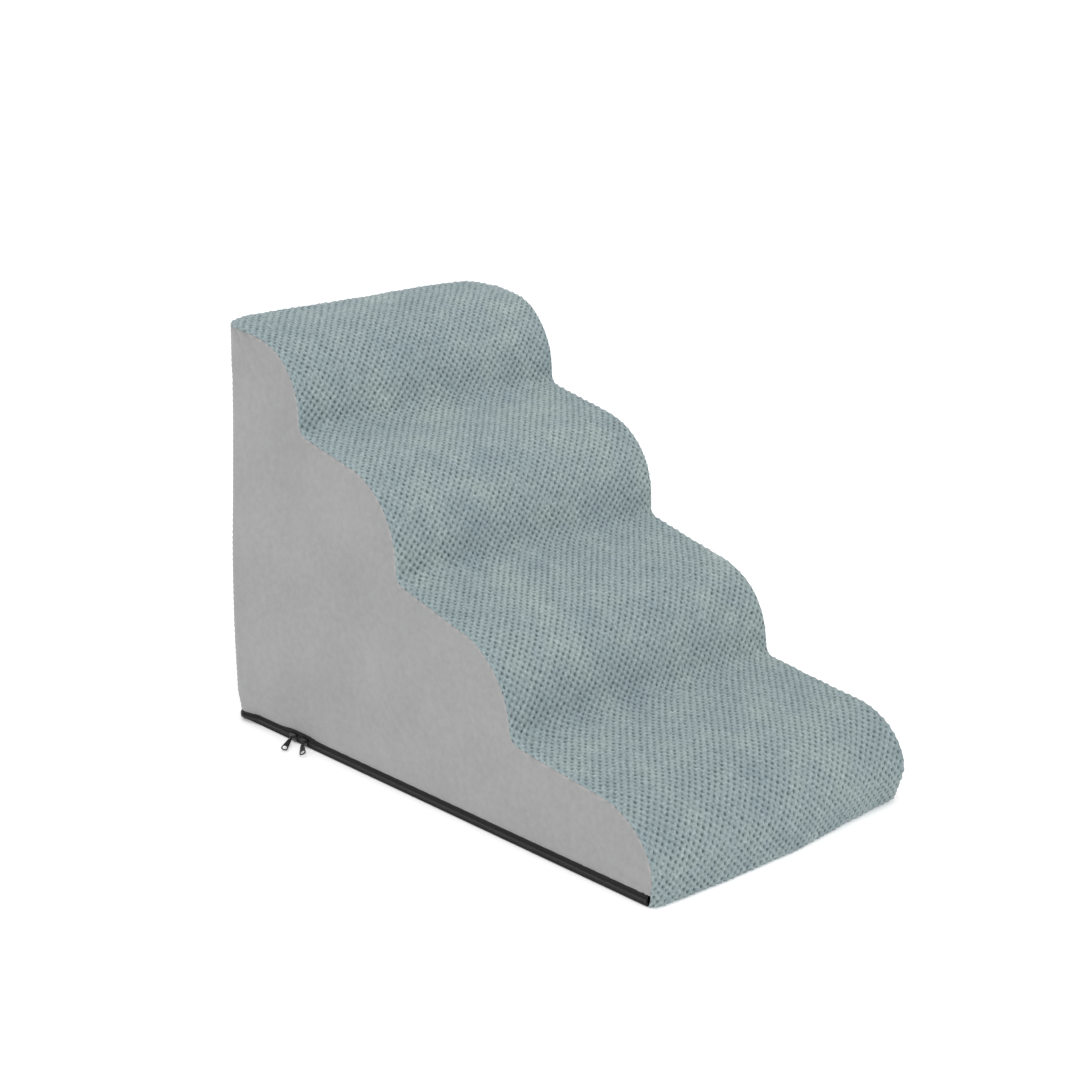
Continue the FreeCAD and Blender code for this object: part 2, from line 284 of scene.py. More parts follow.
def arc_points(centre, radius, start, end, outward=1):
    """An arc's points and outward normals. outward is -1 in a valley, where the arc is hollow."""
    count = max(2, int(abs(end - start) * radius / sample_gap))
    angle = np.linspace(start, end, count)
    rim = np.stack([np.cos(angle), np.sin(angle)], -1)
    return np.array(centre) + radius * rim, outward * rim


def nose_centre(step, tread_end_y):
    """The centre of a step's rounded nose, whose tread ends at tread_end_y."""
    slope = math.radians(step["slope"])
    radius = step["nose_r"]
    centre_y = step["nose_y"] + radius
    run = tread_end_y - centre_y + radius * math.sin(slope)
    return centre_y, step["tread_z"] - run * math.tan(slope) - radius * math.cos(slope)


def valley_centre(lower_step, upper_centre, upper_radius):
    """The centre of the arc that joins a tread to the nose above it."""
    slope = math.radians(lower_step["slope"])
    along = np.array([math.cos(slope), math.sin(slope)])
    base = np.array([upper_centre[0] - upper_radius,
                     lower_step["tread_z"] + valley_radius / math.cos(slope)])
    offset = base - np.array(upper_centre)
    middle = offset @ along
    spare = offset @ offset - (upper_radius + valley_radius) ** 2
    return base + (-middle - math.sqrt(middle ** 2 - spare)) * along


def stair_profile():
    """Points and outward normals from the seam on the back, over the steps, to the front hem."""
    tread_ends = [step["nose_y"] for step in step_shapes[1:]] + [half_length]
    centres = [nose_centre(step, end) for step, end in zip(step_shapes, tread_ends)]
    top_slope = math.radians(step_shapes[-1]["slope"])
    corner = (half_length - back_edge_radius,
              top_z - back_edge_radius * (math.tan(top_slope) + 1 / math.cos(top_slope)))
    pieces = [
        line_points((half_length, corner[1] - back_edge_fall), (half_length, corner[1])),
        arc_points(corner, back_edge_radius, 0, math.pi / 2 + top_slope),
    ]
    for number in reversed(range(len(step_shapes))):
        step, centre = step_shapes[number], centres[number]
        radius = step["nose_r"]
        start = math.pi / 2 + math.radians(step["slope"])
        tread_front = (centre[0] + radius * math.cos(start), centre[1] + radius * math.sin(start))
        pieces.append(line_points(pieces[-1][0][-1], tread_front))
        if number == 0:
            pieces.append(arc_points(centre, radius, start, math.pi))
            break
        lower = step_shapes[number - 1]
        valley = valley_centre(lower, centre, radius)
        meet = math.atan2(valley[1] - centre[1], valley[0] - centre[0]) % (2 * math.pi)
        pieces.append(arc_points(centre, radius, start, meet))
        pieces.append(arc_points(valley, valley_radius, meet - math.pi,
                                 math.radians(lower["slope"]) - math.pi / 2, -1))
    front_y = -half_length
    pieces.append(line_points(pieces[-1][0][-1], (front_y, hem_radius)))
    pieces.append(arc_points((front_y + hem_radius, hem_radius), hem_radius, math.pi, 1.5 * math.pi))
    points = np.concatenate([p for p, _ in pieces])
    normals = np.concatenate([n for _, n in pieces])
    length = np.concatenate([[0], np.cumsum(np.linalg.norm(np.diff(points, axis=0), axis=1))])
    return length, points, normals


profile_length, profile_points, profile_normals = stair_profile()


def profile_at(s):
    """Points and normals of the side view at distances s from the back seam."""
    point = np.stack([np.interp(s, profile_length, profile_points[:, k]) for k in (0, 1)], -1)
    normal = np.stack([np.interp(s, profile_length, profile_normals[:, k]) for k in (0, 1)], -1)
    return point, normal / np.linalg.norm(normal, axis=-1, keepdims=True)


def soft_profile_at(s):
    """The side view with its valleys eased, as the plush spans them away from the seams."""
    offsets = np.linspace(-2.5, 2.5, 21)
    weights = np.exp(-offsets ** 2 / 2)
    weights /= weights.sum()
    return sum(w * profile_at(np.clip(s + o * valley_softness, 0, profile_length[-1]))[0]
               for w, o in zip(weights, offsets))


def nearness(y, z, point_y, point_z):
    """A weight that falls off round one point of the side view, which is given in millimetres."""
    away = (y - point_y * MM) ** 2 + (z - point_z * MM) ** 2
    return np.exp(-away / (2 * (swell_reach * MM) ** 2))


def swell_at(y, z, right):
    """How far the cover's side stands out at (y, z) in the side view. right is 1 on the right side."""
    least = 1e-9
    total, weight_sum, extra = 0.0, least, 0.0
    for point_y, point_z, out in swell_points:
        weight = nearness(y, z, point_y, point_z) + least
        total = total + weight * out * MM
        weight_sum = weight_sum + weight
    for point_y, point_z, out in right_swell_points:
        extra = extra + out * MM * nearness(y, z, point_y, point_z)
    return total / weight_sum + extra * right


# ------ plan route of the walls

route_corner = math.pi / 2 * back_corner_radius
route_side = half_length * 2 - back_corner_radius
route_back = 2 * (half_width - back_corner_radius)
route_length = 2 * route_side + 2 * route_corner + route_back
left_seam_p = route_side + route_corner / 2
right_seam_p = route_length - left_seam_p


def route_at(p):
    """Plan points (x, y) and outward normals at distances p along the cover's wall."""
    p = np.asarray(p, float)
    mirrored = p > route_length / 2
    q = np.where(mirrored, route_length - p, p)
    corner_x, corner_y = -half_width + back_corner_radius, half_length - back_corner_radius
    turn = np.clip((q - route_side) / back_corner_radius, 0, math.pi / 2)
    on_back = np.clip(q - route_side - route_corner, 0, None)
    nx, ny = -np.cos(turn), np.sin(turn)
    x = corner_x + back_corner_radius * nx + on_back
    y = np.where(q < route_side, -half_length + q, corner_y + back_corner_radius * ny)
    sign = np.where(mirrored, -1, 1)
    return np.stack([x * sign, y], -1), np.stack([nx * sign, ny], -1)


# ------ materials

def set_inputs(node, values):
    """Sets a shader node's constants. values goes from the names of its sockets to their values."""
    for socket, value in values.items():
        node.inputs[socket].default_value = value


def new_material(name, colour, roughness, sheen=0.0, specular=0.5, metallic=0.0, coat=0.0):
    """A material with its shader's constants set. Returns it, its nodes, its links and the shader."""
    material = bpy.data.materials.new(name)
    material.use_nodes = True
    nodes, links = material.node_tree.nodes, material.node_tree.links
    shader = nodes["Principled BSDF"]
    set_inputs(shader, {
        "Base Color": (*colour, 1), "Roughness": roughness, "Specular IOR Level": specular,
        "Metallic": metallic, "Sheen Weight": sheen, "Sheen Roughness": 0.45, "Coat Weight": coat})
    material.diffuse_color = (*colour, 1)
    return material, nodes, links, shader


def grey(value):
    return (value, value, value)


def noise_node(nodes, links, scale, detail=3.0, roughness=0.55):
    """The values of a noise texture in the piece's own coordinates, in features per metre."""
    coordinates = nodes.new("ShaderNodeTexCoord")
    noise = nodes.new("ShaderNodeTexNoise")
    set_inputs(noise, {"Scale": scale, "Detail": detail, "Roughness": roughness})
    links.new(coordinates.outputs["Object"], noise.inputs["Vector"])
    return noise.outputs["Fac"]


def attribute_node(nodes, name):
    """The values that a mesh holds under a name."""
    attribute = nodes.new("ShaderNodeAttribute")
    attribute.attribute_name = name
    return attribute.outputs["Fac"]


def ramp_node(nodes, links, source, stops):
    """The colours of a ramp. stops is a list of (place, colour)."""
    ramp = nodes.new("ShaderNodeValToRGB")
    elements = ramp.color_ramp.elements
    while len(elements) < len(stops):
        elements.new(0.5)
    for element, (place, colour) in zip(elements, stops):
        element.position = place
        element.color = (*colour, 1)
    links.new(source, ramp.inputs["Fac"])
    return ramp.outputs["Color"]


def mix_colour(nodes, links, factor, first, second, blend="MIX"):
    """Two colours mixed. Each input is a socket or a constant."""
    mix = nodes.new("ShaderNodeMix")
    mix.data_type = "RGBA"
    mix.blend_type = blend
    for socket, value in (("Factor", factor), ("A", first), ("B", second)):
        found = [i for i in mix.inputs if i.name == socket and i.enabled][0]
        if isinstance(value, bpy.types.NodeSocket):
            links.new(value, found)
        else:
            found.default_value = value
    return [o for o in mix.outputs if o.enabled][0]


def bump_nodes(nodes, links, shader, heights):
    """Chained bump nodes. heights is a list of (height socket, distance in metres, strength)."""
    previous = None
    for height, distance, strength in heights:
        bump = nodes.new("ShaderNodeBump")
        set_inputs(bump, {"Distance": distance, "Strength": strength})
        links.new(height, bump.inputs["Height"])
        if previous is not None:
            links.new(previous, bump.inputs["Normal"])
        previous = bump.outputs["Normal"]
    links.new(previous, shader.inputs["Normal"])


def plush_material():
    """Blue-grey bubble plush: cloudy nap, painted shade in the dimples, and a fine pile."""
    material, nodes, links, shader = new_material(
        "bubble_plush", (0.33, 0.40, 0.41), 0.92, sheen=0.35, specular=0.15)
    clouds = noise_node(nodes, links, 17, detail=4, roughness=0.6)
    tone = ramp_node(nodes, links, clouds, [
        (0.30, (0.330, 0.418, 0.440)),
        (0.50, (0.375, 0.462, 0.478)),
        (0.62, (0.410, 0.492, 0.492)),
        (0.74, (0.490, 0.570, 0.572)),
    ])
    fibres = noise_node(nodes, links, 400, detail=3, roughness=0.7)
    fleck = ramp_node(nodes, links, fibres, [(0.34, grey(0.62)), (0.55, grey(0.85)), (0.70, grey(1.14))])
    toned = mix_colour(nodes, links, 1.0, tone, fleck, "MULTIPLY")
    # Painted shade: the base colour is darkened where the dimples sink in.
    shade = ramp_node(nodes, links, attribute_node(nodes, "dimple_and_shade"), [
        (0.10, grey(1)), (0.9, (0.35, 0.40, 0.41))])
    colour = mix_colour(nodes, links, 1.0, toned, shade, "MULTIPLY")
    links.new(colour, shader.inputs["Base Color"])
    pile = noise_node(nodes, links, 900, detail=2)
    bump_nodes(nodes, links, shader, [(fibres, 0.5 * MM, 0.5), (pile, 0.25 * MM, 0.5)])
    return material


def velvet_material():
    """Light grey short-pile velvet with a faint nap, paler along the seam with the plush."""
    material, nodes, links, shader = new_material(
        "side_velvet", (0.40, 0.40, 0.405), 0.95, sheen=0.25, specular=0.1)
    nap = noise_node(nodes, links, 9, detail=3, roughness=0.5)
    tone = ramp_node(nodes, links, nap, [
        (0.30, (0.345, 0.345, 0.348)),
        (0.55, (0.367, 0.367, 0.368)),
        (0.75, (0.390, 0.389, 0.389)),
    ])
    grain = noise_node(nodes, links, 700, detail=3, roughness=0.7)
    fleck = ramp_node(nodes, links, grain, [(0.3, grey(0.93)), (0.7, grey(1.0))])
    mottle = noise_node(nodes, links, 130, detail=3, roughness=0.6)
    blotch = ramp_node(nodes, links, mottle, [(0.3, grey(0.95)), (0.7, grey(1.05))])
    flecked = mix_colour(nodes, links, 1.0, tone, fleck, "MULTIPLY")
    even = mix_colour(nodes, links, 1.0, flecked, blotch, "MULTIPLY")
    colour = mix_colour(nodes, links, attribute_node(nodes, "seam_rim"), even, (0.54, 0.51, 0.50, 1))
    links.new(colour, shader.inputs["Base Color"])
    fibre = noise_node(nodes, links, 1600, detail=2)
    bump_nodes(nodes, links, shader, [(grain, 0.2 * MM, 0.4), (fibre, 0.1 * MM, 0.5)])
    return material


def woven_material(name, colour, thread):
    """A woven cloth: fine diagonal ribs both ways. thread is the rib width in metres."""
    material, nodes, links, shader = new_material(name, colour, 0.85, specular=0.2)
    coordinates = nodes.new("ShaderNodeTexCoord")
    heights = []
    for turn in (45, -45):
        mapping = nodes.new("ShaderNodeMapping")
        set_inputs(mapping, {"Rotation": (math.radians(turn), 0, math.radians(turn))})
        wave = nodes.new("ShaderNodeTexWave")
        set_inputs(wave, {"Scale": 0.5 / thread / math.pi, "Distortion": 0.4})
        links.new(coordinates.outputs["Object"], mapping.inputs["Vector"])
        links.new(mapping.outputs["Vector"], wave.inputs["Vector"])
        heights.append((wave.outputs["Fac"], 0.15 * MM, 0.5))
    dark = tuple(0.7 * c for c in colour)
    light = tuple(1.35 * c for c in colour)
    tone = ramp_node(nodes, links, heights[0][0], [(0.2, dark), (0.8, light)])
    links.new(tone, shader.inputs["Base Color"])
    bump_nodes(nodes, links, shader, heights)
    return material


def speckled_material(name, dark, light, scale, roughness, specular=0.5, metallic=0.0, coat=0.0):
    """A moulded or painted surface with a fine uneven tone and texture."""
    material, nodes, links, shader = new_material(
        name, light, roughness, specular=specular, metallic=metallic, coat=coat)
    noise = noise_node(nodes, links, scale, detail=4, roughness=0.65)
    tone = ramp_node(nodes, links, noise, [(0.35, dark), (0.7, light)])
    links.new(tone, shader.inputs["Base Color"])
    bump_nodes(nodes, links, shader, [(noise, 0.05 * MM, 0.4)])
    return material


def foam_material():
    """Pale open-cell foam."""
    material, nodes, links, shader = new_material("open_cell_foam", (0.80, 0.76, 0.62), 0.95, specular=0.1)
    coordinates = nodes.new("ShaderNodeTexCoord")
    cells = nodes.new("ShaderNodeTexVoronoi")
    set_inputs(cells, {"Scale": 700})
    links.new(coordinates.outputs["Object"], cells.inputs["Vector"])
    tone = ramp_node(nodes, links, cells.outputs["Distance"], [
        (0.1, (0.60, 0.55, 0.42)), (0.5, (0.84, 0.80, 0.67))])
    links.new(tone, shader.inputs["Base Color"])
    bump_nodes(nodes, links, shader, [(cells.outputs["Distance"], 0.4 * MM, 0.6)])
    return material


plush = plush_material()
velvet = velvet_material()
tape_cloth = woven_material("zipper_tape_weave", (0.022, 0.022, 0.024), 0.5 * MM)
base_cloth = woven_material("base_weave", (0.055, 0.055, 0.06), 0.7 * MM)
coil_nylon = speckled_material("coil_nylon", (0.014, 0.014, 0.015), (0.035, 0.035, 0.037), 900, 0.38)
slider_paint = speckled_material("slider_paint", (0.006, 0.006, 0.007), (0.018, 0.018, 0.019), 500, 0.38,
                                 metallic=0.1, coat=0.15)
grip_rubber = speckled_material("grip_rubber", grey(0.02), grey(0.045), 600, 0.7, specular=0.3)
foam = foam_material()


# ------ plush band

def round_corner(x, y, radius, corner_x, corner_y):
    """Moves points near one corner of the plan, which lies at (corner_x, corner_y), inside its arc."""
    sign_x, sign_y = math.copysign(1, corner_x), math.copysign(1, corner_y)
    off_x = (x - corner_x) * sign_x + radius
    off_y = (y - corner_y) * sign_y + radius
    near = (off_x > 0) & (off_y > 0)
    square = np.maximum(off_x, off_y)
    scale = np.where(near, square / np.maximum(np.hypot(off_x, off_y), 1e-9), 1.0)
    return (np.where(near, x + sign_x * off_x * (scale - 1), x),
            np.where(near, y + sign_y * off_y * (scale - 1), y))


def clamp_corner(x, y, radius, corner_x, corner_y):
    """Pulls points of a wall onto the arc that rounds one corner of the plan."""
    sign_x, sign_y = math.copysign(1, corner_x), math.copysign(1, corner_y)
    off_x = (x - corner_x) * sign_x + radius
    off_y = (y - corner_y) * sign_y + radius
    near = (off_x > 0) & (off_y > 0)
    scale = np.where(near, np.minimum(1, radius / np.maximum(np.hypot(off_x, off_y), 1e-9)), 1.0)
    return x + sign_x * off_x * (scale - 1), y + sign_y * off_y * (scale - 1)


def front_fade(z):
    """How much of the front corners' rounding applies at height z."""
    return 1 - smooth_step(z, *front_corner_fade)


def at_front(y):
    """0 behind the foot of the first step, and 1 at the front."""
    return smooth_step(-y, half_length - foot_run, half_length)


def belly_at(z, normal_y):
    """How far the foot of the first step bellies out at height z, where its normal points forwards."""
    height_share = np.exp(-((z - front_belly_z) / front_belly_spread) ** 2)
    return front_belly * height_share * np.clip(-normal_y, 0, None)


def front_bend(x, y, z):
    """How far back the front hem lies at the right, where it is drawn in."""
    height_share = np.exp(-np.clip(z, 0, None) / right_hem_bend_height)
    return right_hem_bend * smooth_step(x, 0, right_hem_bend_run) * height_share * at_front(y)


def corner_fall(x, y):
    """How far the stuffed cover's top back corners sink at the plan point (x, y)."""
    fall = 0.0
    for sign in (-1, 1):
        reach_x, reach_y = top_corner_reach[sign]
        near_x = np.clip((sign * x - half_width) / reach_x + 1, 0, 1)
        near_y = np.clip((y - half_length) / reach_y + 1, 0, 1)
        fall = fall + top_corner_drop[sign] * (near_x * near_y) ** top_corner_power
    return fall


def wall_plan(p, z):
    """Plan points of the walls at (p, z), their corners rounded as the plush's are, and normals."""
    plan, out = route_at(p)
    x, y = plan[..., 0], plan[..., 1]
    z = np.broadcast_to(z, np.shape(x))
    top = smooth_step(z, back_seam_z - top_corner_run, back_seam_z)
    for sign in (-1, 1):
        for radius, corner_y, fade in ((top_corner_radius[sign], half_length, top),
                                       (front_corner_radius, -half_length, front_fade(z))):
            eased_x, eased_y = clamp_corner(x, y, radius, sign * half_width, corner_y)
            x, y = x + (eased_x - x) * fade, y + (eased_y - y) * fade
    return np.stack([x, y + front_bend(x, y, z)], -1), out


def across_plush(t):
    """x at distance t across the plush, and how far its rolled edge lies below the tread there."""
    across = t - plush_width / 2
    angle = np.clip(np.abs(across) - flat_half, 0, edge_length) / edge_radius
    x = np.clip(across, -flat_half, flat_half) + np.sign(across) * edge_radius * np.sin(angle)
    return x, edge_radius * (1 - np.cos(angle))


def round_plush_plan(x, y, z):
    """Rounds the plush's corners in plan: at the top of the back, and at the foot of the front."""
    corner_x = half_width + edge_proud
    fade = front_fade(z)
    for sign in (-1, 1):
        x, y = round_corner(x, y, top_corner_radius[sign], sign * corner_x, half_length)
        eased_x, eased_y = round_corner(x, y, front_corner_radius, sign * corner_x, -half_length)
        x, y = x + (eased_x - x) * fade, y + (eased_y - y) * fade
    return x, y


def right_hem_rise(x, y, z):
    """How far the front hem rises off the floor at its right end."""
    run_x, run_y = right_hem_lift_run
    near_x = smooth_step(x, half_width - run_x, half_width)
    near_y = smooth_step(-y, half_length - run_y, half_length)
    return right_hem_lift * near_x * near_y * (1 - smooth_step(z, 0, right_hem_lift_height))


def plush_surface(s, t):
    """Base points of the plush at distances s along and t across it."""
    point, normal = profile_at(s)
    x, depth = across_plush(t)
    middle = (1 - (x / half_width) ** 4).clip(0)
    ends = smooth_step(s, 0, soft_from_back) * smooth_step(profile_length[-1] - s, 0, soft_from_front)
    point = point + (soft_profile_at(s) - point) * (middle * ends)[:, None]
    lift = belly_at(point[:, 1], normal[:, 0]) + crown * middle * ends - depth
    y, z = point[:, 0] + lift * normal[:, 0], point[:, 1] + lift * normal[:, 1]
    bow = hem_bow * (1 - ((x - hem_bow_x) / hem_bow_reach) ** 2).clip(0) * middle
    y = y - bow * np.exp(-z.clip(0) / hem_bow_height) * at_front(y)
    top_shape = top_rise * middle + top_swell * np.exp(-((x - top_swell_x) / top_swell_spread) ** 2)
    z = z + top_shape * smooth_step(y, half_length - top_swell_run, half_length) - corner_fall(x, y)
    x, y = round_plush_plan(x, y, z)
    y = y + front_bend(x, y, z)
    swell = swell_at(y, z, x > 0)
    back_rim = (1 - smooth_step(s, *rim_pull_fade)) * (np.abs(x) / half_width) ** 8
    x = x * (1 + (swell - rim_pull * back_rim) / half_width)
    y = y + back_swell_share * swell * smooth_step(y, *back_swell_fade)
    return np.stack([x, y, z + right_hem_rise(x, y, z)], -1)


def grid_normals(points, rows, columns):
    """Outward unit normals of a grid of points."""
    grid = points.reshape(rows, columns, 3)
    down, over = np.gradient(grid, axis=0), np.gradient(grid, axis=1)
    normal = np.cross(over, down)
    return -(normal / np.linalg.norm(normal, axis=-1, keepdims=True)).reshape(-1, 3)


def plush_relief(i, j, s, t):
    """How far the dots and the pile stand out at grid points, and how much painted shade the dimples get."""
    across = 2 * math.pi * j / steps_per_bump + dot_drift * soft_noise(3, s, t, 70 * MM)
    along = 2 * math.pi * i / steps_per_bump + dot_drift * soft_noise(4, s, t, 60 * MM)
    across += dot_jitter * soft_noise(13, s, t, jitter_cell)
    along += dot_jitter * soft_noise(14, s, t, jitter_cell)
    lattice = np.cos(across) * np.cos(along)
    dimple_and_shade = ((1 + lattice) / 2) ** dimple_sharpness
    unevenness = soft_noise(5, s, t, uneven_cell)
    bump = bump_height * (-lattice).clip(0) * (1 - 0.5 * soft_noise(15, s, t, uneven_cell))
    height = bump - dimple_depth * (1 + 0.4 * unevenness) * dimple_and_shade
    grain = np.random.default_rng(11).normal(0, 1, len(i)).clip(-2, 2)
    height = height + pile_roughness * (grain + 1.3 * soft_noise(16, s, t, 2.6 * MM))
    height = height + wave_height * soft_noise(6, s, t, 22 * MM)
    # The second value is the painted shade that darkens the dimples' colour.
    return height, dimple_and_shade * (1 + 0.35 * unevenness)


def rim_strip(fine_rim, coarse_rim, flip):
    """Triangles that join a fine rim of points to a coarse one."""
    faces = []
    middle = steps_per_bump // 2
    for k in range(len(coarse_rim) - 1):
        run = fine_rim[k * steps_per_bump:(k + 1) * steps_per_bump + 1]
        near, far = coarse_rim[k], coarse_rim[k + 1]
        faces += [(run[m], run[m + 1], near) for m in range(middle)]
        faces += [(run[m], run[m + 1], far) for m in range(middle, steps_per_bump)]
        faces.append((run[middle], far, near))
    return [f[::-1] for f in faces] if flip else faces


def plush_band():
    """The embossed plush as a closed sheet: a fine outer face and a plain backing."""
    rows, columns = bumps_along * steps_per_bump + 1, bumps_across * steps_per_bump + 1
    i, j = (index.ravel() for index in np.indices((rows, columns)))
    s = np.linspace(0, profile_length[-1], rows)[i]
    t = np.linspace(0, plush_width, columns)[j]
    place = plush_surface(s, t)
    outward = grid_normals(place, rows, columns)
    height, dimple_and_shade = plush_relief(i, j, s, t)
    rim_distance = np.minimum(np.minimum(i, rows - 1 - i), np.minimum(j, columns - 1 - j))
    height *= np.clip(rim_distance / rim_steps, 0, 1)
    outer = place + outward * height[:, None]
    outer[:, 2] = outer[:, 2].clip(0.2 * MM)

    fine = np.arange(len(outer)).reshape(rows, columns)
    backed = fine[::steps_per_bump, ::steps_per_bump]
    inner = (place - outward * plush_backing)[backed.ravel()]
    coarse = np.arange(backed.size).reshape(backed.shape) + len(outer)
    faces = list(grid_faces(rows, columns)[:, ::-1])
    faces += list(grid_faces(*backed.shape, len(outer)))
    faces += rim_strip(fine[0], coarse[0], False) + rim_strip(fine[-1], coarse[-1], True)
    faces += rim_strip(fine[:, 0], coarse[:, 0], True) + rim_strip(fine[:, -1], coarse[:, -1], False)
    piece = mesh_piece("plush_band", np.concatenate([outer, inner]), faces, plush)
    # Stores the dimples' painted shade for the plush material to read.
    set_values(piece, "dimple_and_shade", [dimple_and_shade, np.zeros(len(inner))])
    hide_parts("tread_cover")


# ------ fabric walls

def seam_curve():
    """The side view of the seam between plush and side panel: y and z, from back to front."""
    point, normal = profile_at(np.arange(0, profile_length[-1], border_gap))
    depth = edge_radius * (1 - math.cos(edge_turn)) - seam_overlap
    seam = point + normal * (belly_at(point[:, 1], normal[:, 0]) - depth)[:, None]
    keep = (seam[:, 1] > panel_bottom_z) & (seam[:, 0] < half_length - 0.5 * depth)
    return seam[keep]


seam_line = seam_curve()
back_seam_z = seam_line[0, 1]


def wall_bottom_z(p):
    """The fabric's lower edge, which the sliders push up a little on the left."""
    past = (np.asarray(p) - half_length - slider_kink_y) / slider_kink_reach
    return panel_bottom_z + slider_kink * np.exp(-past ** 4)


def wall_creases():
    """Soft creases on the side panels: start and end as (distance along the route, z), width, depth."""
    back = route_side
    return [
        ((back - 7 * MM, 484 * MM), (back - 32 * MM, 432 * MM), 3.2 * MM, 1.8 * MM),
        ((back - 14 * MM, 486 * MM), (back - 42 * MM, 440 * MM), 3.2 * MM, -1.5 * MM),
        ((back - 20 * MM, 488 * MM), (back - 52 * MM, 444 * MM), 3.2 * MM, 1.6 * MM),
        ((back + 2 * MM, 430 * MM), (back - 26 * MM, 370 * MM), 6 * MM, 0.9 * MM),
        ((8 * MM, 21 * MM), (52 * MM, 25 * MM), 3.5 * MM, 1.6 * MM),
        ((8 * MM, 29 * MM), (44 * MM, 37 * MM), 3.5 * MM, -1.2 * MM),
        ((8 * MM, 37 * MM), (40 * MM, 50 * MM), 3.5 * MM, 1.5 * MM),
        ((10 * MM, 52 * MM), (30 * MM, 76 * MM), 4 * MM, 0.8 * MM),
        ((205 * MM, 112 * MM), (250 * MM, 60 * MM), 14 * MM, 0.5 * MM),
        ((397 * MM, 232 * MM), (450 * MM, 160 * MM), 15 * MM, 0.5 * MM),
    ]


def crease_depth(p, z):
    """How deep the creases are at distance p along the route and height z."""
    total = np.zeros(len(p))
    for start, end, width, depth in wall_creases():
        start, end = np.array(start), np.array(end)
        span = end - start
        along = ((p - start[0]) * span[0] + (z - start[1]) * span[1]) / (span @ span)
        nearest = start + np.clip(along, 0, 1)[:, None] * span
        away = np.hypot(p - nearest[:, 0], z - nearest[:, 1])
        total += depth * np.exp(-(away / width) ** 2)
    return total


def zip_push(p):
    """How far the zipper bows out where it goes round a back corner."""
    q = np.minimum(p, route_length - p)
    clear_of_slider = smooth_step(q, *(route_side - reach for reach in slider_path_end))
    return zip_corner_push * np.exp(-((q - left_seam_p) / zip_corner_reach) ** 2) * clear_of_slider


def wall_height(p, z, edge_distance, seed):
    """How far the fabric stands out from the foam's flat side."""
    q = np.minimum(p, route_length - p)
    plan, _ = route_at(p)
    swell = swell_at(plan[:, 1], z, plan[:, 0] > 0)
    swell = swell * (1 - back_swell_loss * smooth_step(q, left_seam_p, left_seam_p + back_swell_run))
    above_zip = smooth_step(z - panel_bottom_z, *swell_from_zip)
    base = zip_push(p) + (swell - zip_push(p)) * above_zip
    near_top = 1 - smooth_step(back_seam_z - z, 0, top_tuck_height)
    base = base - top_tuck * near_top * smooth_step(q - left_seam_p, *top_tuck_fade)
    ripple = sum(size * soft_noise(seed + k, p, z, cell) for k, (size, cell) in enumerate(ripples))
    creases = crease_depth(q, z) * smooth_step(edge_distance, 0, crease_edge)
    return base + ripple * smooth_step(edge_distance, 0, ripple_edge) - creases


def filled_outline(outline):
    """Points and triangles that fill an outline, in staggered rows."""
    low, high = outline.min(0), outline.max(0)
    inside = []
    for number, z in enumerate(np.arange(low[1] + wall_cell / 2, high[1], wall_cell * staggered_row)):
        start = low[0] + wall_cell * (0.5 if number % 2 else 1.0)
        inside += [(p, z) for p in np.arange(start, high[0], wall_cell)]
    inside = np.array(inside)
    inside = inside[distance_to(inside, outline) > 0.55 * wall_cell]
    border = [(k, (k + 1) % len(outline)) for k in range(len(outline))]
    loose = [Vector(v) for v in np.concatenate([outline, inside])]
    made = delaunay_2d_cdt(loose, border, [], 1, 1e-7)
    return np.array([tuple(v) for v in made[0]]), [tuple(f) for f in made[2]]


def wall_layers(flat, edge_distance, seed):
    """The outer and the inner points of a panel, and the directions that point out of the wall."""
    p, z = flat[:, 0], flat[:, 1]
    plan, out = wall_plan(p, z)
    roll_depth, roll_reach = border_roll
    roll = roll_depth * (1 - smooth_step(edge_distance, 0, roll_reach))
    outset = wall_height(p, z, edge_distance, seed) - roll - wall_gap
    from_corner = np.minimum(p, route_length - p) - route_side
    rise = top_wall_rise * smooth_step(from_corner, *top_wall_rise_run) * (plan[:, 0] < 0)
    change = rise - top_wall_fall * corner_fall(plan[:, 0], plan[:, 1])
    z = z + change * smooth_step(z, back_seam_z - top_run, back_seam_z)
    layers = [np.stack([plan[:, 0] + out[:, 0] * d, plan[:, 1] + out[:, 1] * d, z], -1)
              for d in (outset, outset - wall_thickness)]
    return layers, out


def seam_paleness(flat):
    """How pale the left panel is along the seam with the plush, up to near the back corner."""
    seam_gap = distance_to(flat, seam_line + [half_length, 0])
    past_end = smooth_step(flat[:, 0] - route_side, *pale_seam_end)
    return (1 - smooth_step(seam_gap, *pale_seam)) * (1 - past_end)


def wall_panel(name, node, outline, seed):
    """A fabric panel: outline is its border, as (distance along the route, z) points."""
    outline = np.array(outline)
    flat, triangles = filled_outline(outline)
    layers, out = wall_layers(flat, distance_to(flat, outline), seed)
    corner = layers[0][list(triangles[0])]
    facing = np.cross(corner[1] - corner[0], corner[2] - corner[0])
    if facing[:2] @ out[triangles[0][0]] < 0:
        triangles = [f[::-1] for f in triangles]
    edges = dict.fromkeys(edge for f in triangles for edge in zip(f, f[1:] + f[:1]))
    rim = [(a, b) for a, b in edges if (b, a) not in edges]
    count = len(flat)
    faces = triangles + [tuple(k + count for k in reversed(f)) for f in triangles]
    faces += [(b, a, a + count, b + count) for a, b in rim]
    piece = mesh_piece(name, np.concatenate(layers), faces, velvet)
    pale = seam_paleness(flat)
    set_values(piece, "seam_rim", [pale, pale])
    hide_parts(node)


def even_line(start, end):
    """Evenly spaced points from start up to, but not including, end."""
    start, end = np.array(start, float), np.array(end, float)
    count = max(1, int(round(np.linalg.norm(end - start) / border_gap)))
    return [tuple(start + (end - start) * k / count) for k in range(count)]


